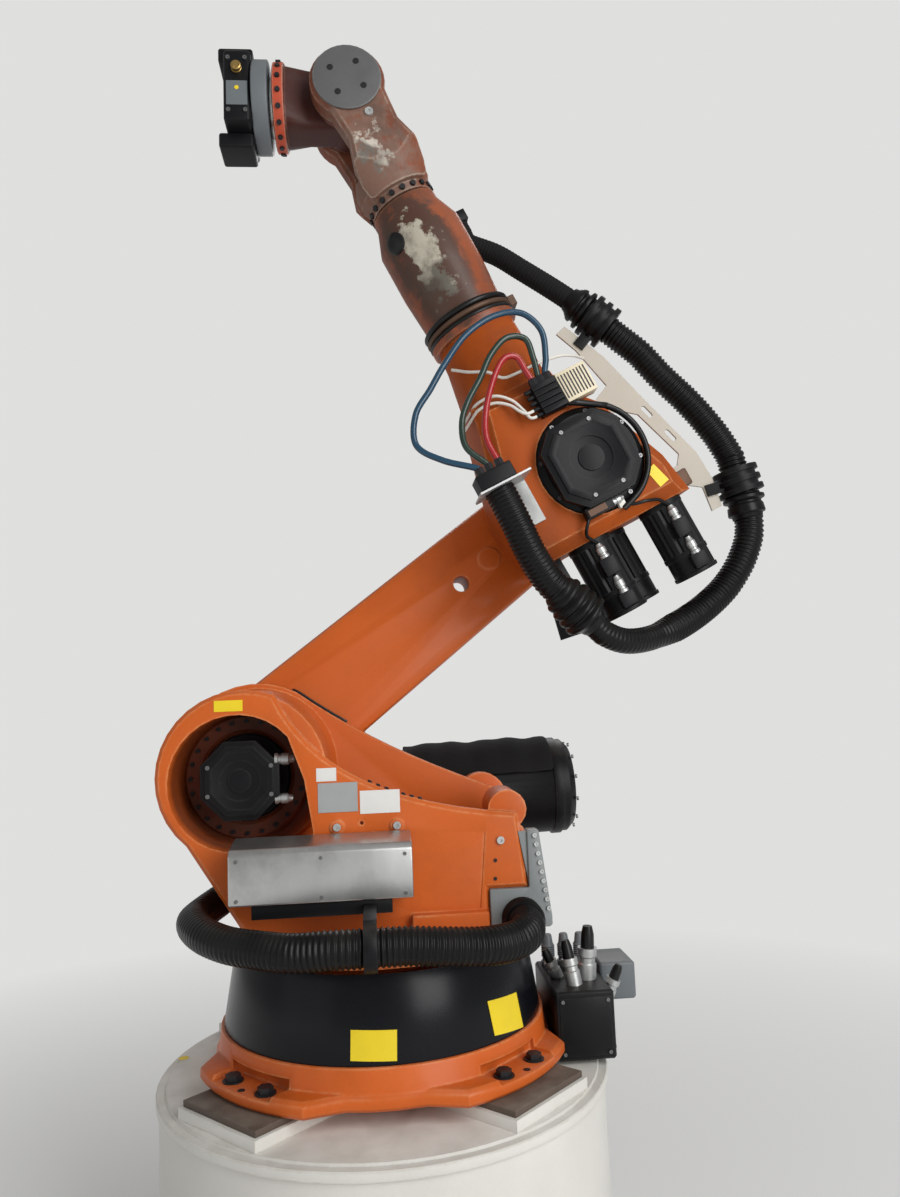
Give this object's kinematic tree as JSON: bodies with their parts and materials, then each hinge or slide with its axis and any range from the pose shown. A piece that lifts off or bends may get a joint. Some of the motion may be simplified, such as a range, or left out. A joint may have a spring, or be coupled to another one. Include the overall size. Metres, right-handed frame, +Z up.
{
  "type": "six-axis industrial robot arm on a pedestal",
  "caption": "Orange six-axis industrial robot arm with counterbalance, hose pack and tool changer, standing on a round white steel pedestal.",
  "frame": {"origin": "middle of the pedestal's underside on the floor, on the turning axis of the column", "axes": "+Z up, +X the way the robot faces, +Y its left side"},
  "size_m": [1.7478, 1.17, 3.4704],
  "materials": {
    "pedestal_paint": "satin off-white paint, dusty",
    "bedplate_steel": "dull brown steel",
    "orange_paint": "satin orange paint on castings",
    "skirt_coating": "glossy black",
    "black_coating": "satin black",
    "grey_coating": "matt grey",
    "sheet_metal": "folded bare sheet",
    "hose_rubber": "matt black rubber",
    "bright_steel": "turned steel",
    "worn_paint": "worn brownish orange paint",
    "dark_red_paint": "dull dark red paint",
    "beige_sheet": "beige passivated sheet",
    "galvanised_sheet": "galvanised sheet",
    "cream_plastic": "cream moulded plastic",
    "blue_hose": "blue plastic hose",
    "green_hose": "dark green plastic hose",
    "red_hose": "red plastic hose"
  },
  "bodies": {
    "base": {"pedestal_floor_plate": "pedestal_paint", "pedestal_shell": "pedestal_paint", "pedestal_top_plate": "pedestal_paint", "bedplate_front_left": "bedplate_steel", "bedplate_rear_left": "bedplate_steel", "bedplate_rear_right": "bedplate_steel", "bedplate_front_right": "bedplate_steel", "base_frame": "orange_paint", "base_skirt": "skirt_coating", "connection_box": "black_coating", "socket_housing": "grey_coating", "cable_plugs": "grey_coating"},
    "column": {"rotating_column": "orange_paint", "shoulder_motor": "black_coating", "shoulder_motor_cap": "black_coating", "side_box": "sheet_metal", "side_box_bracket": "grey_coating", "rear_hose_plate": "grey_coating", "hose_boot": "hose_rubber", "column_hose_loop": "hose_rubber", "hose_strap": "black_coating", "counterbalance_fork": "orange_paint"},
    "cylinder": {"counterbalance_cylinder": "black_coating"},
    "rod": {"counterbalance_rod": "bright_steel"},
    "link": {"link_arm": "orange_paint"},
    "arm": {"elbow_housing": "orange_paint", "arm_extension": "orange_paint", "elbow_motor": "black_coating", "elbow_motor_cap": "black_coating", "wrist_motor_lower": "black_coating", "wrist_motor_upper": "black_coating", "wrist_motor_far": "black_coating", "pack_bracket": "beige_sheet", "pack_clamp_rear": "black_coating", "pack_clamp_front": "black_coating", "hose_joint_boot": "hose_rubber", "boot_plate": "black_coating", "hose_end_plate": "galvanised_sheet", "hose_end_plugs": "black_coating", "terminal_sockets": "black_coating", "terminal_block": "cream_plastic", "front_hose_stop": "black_coating", "pack_hose_loop": "hose_rubber", "pack_hose_lower": "hose_rubber", "pack_hose_front": "hose_rubber", "blue_hose": "blue_hose", "green_hose": "green_hose", "red_hose": "red_hose"},
    "wrist": {"wrist_housing": "worn_paint", "wrist_cover_left": "grey_coating", "wrist_cover_right": "grey_coating"},
    "hand": {"hand": "dark_red_paint"},
    "flange": {"mounting_flange": "bright_steel", "changer_adapter_plate": "grey_coating", "changer_body": "black_coating", "changer_module_top": "black_coating", "changer_module_bottom": "black_coating"}
  },
  "joints": [
    {"name": "column_turn", "type": "hinge", "parent": "base", "child": "column", "pos_m": [0, 0, 0.613], "axis": [0, 0, 1], "range_deg": [-185, 185]},
    {"name": "link_swing", "type": "hinge", "parent": "column", "child": "link", "pos_m": [0.35, 0, 1.363], "axis": [0, 1, 0], "range_deg": [-0.6, 159.4]},
    {"name": "elbow_swing", "type": "hinge", "parent": "link", "child": "arm", "pos_m": [-0.59909, 0, 2.17647], "axis": [0, -1, 0], "range_deg": [-68.2, 175.8]},
    {"name": "wrist_roll", "type": "hinge", "parent": "arm", "child": "wrist", "pos_m": [0.0282, 0, 3.31644], "axis": [0.4446, 0, 0.8957], "range_deg": [-350, 350]},
    {"name": "wrist_bend", "type": "hinge", "parent": "wrist", "child": "hand", "pos_m": [0.0282, 0, 3.31644], "axis": [0, 1, 0], "range_deg": [-188.6, 61.4]},
    {"name": "flange_turn", "type": "hinge", "parent": "hand", "child": "flange", "pos_m": [0.2582, 0, 3.31644], "axis": [1, 0, 0], "range_deg": [-350, 350]},
    {"name": "cylinder_swing", "type": "hinge", "parent": "column", "child": "cylinder", "pos_m": [-0.3, -0.335, 1.263], "axis": [0, -1, 0], "range_deg": [-0.1, 20.45]},
    {"name": "rod_slide", "type": "slide", "parent": "cylinder", "child": "rod", "axis": [0.9997, 0, -0.0251], "range_m": [-0.0008, 0.1895]}
  ],
  "couplings": [
    {"joint": "cylinder_swing", "follows": "link_swing", "ratio": 0.12799},
    {"joint": "rod_slide", "follows": "link_swing", "m_per_rad": 0.06793}
  ]
}
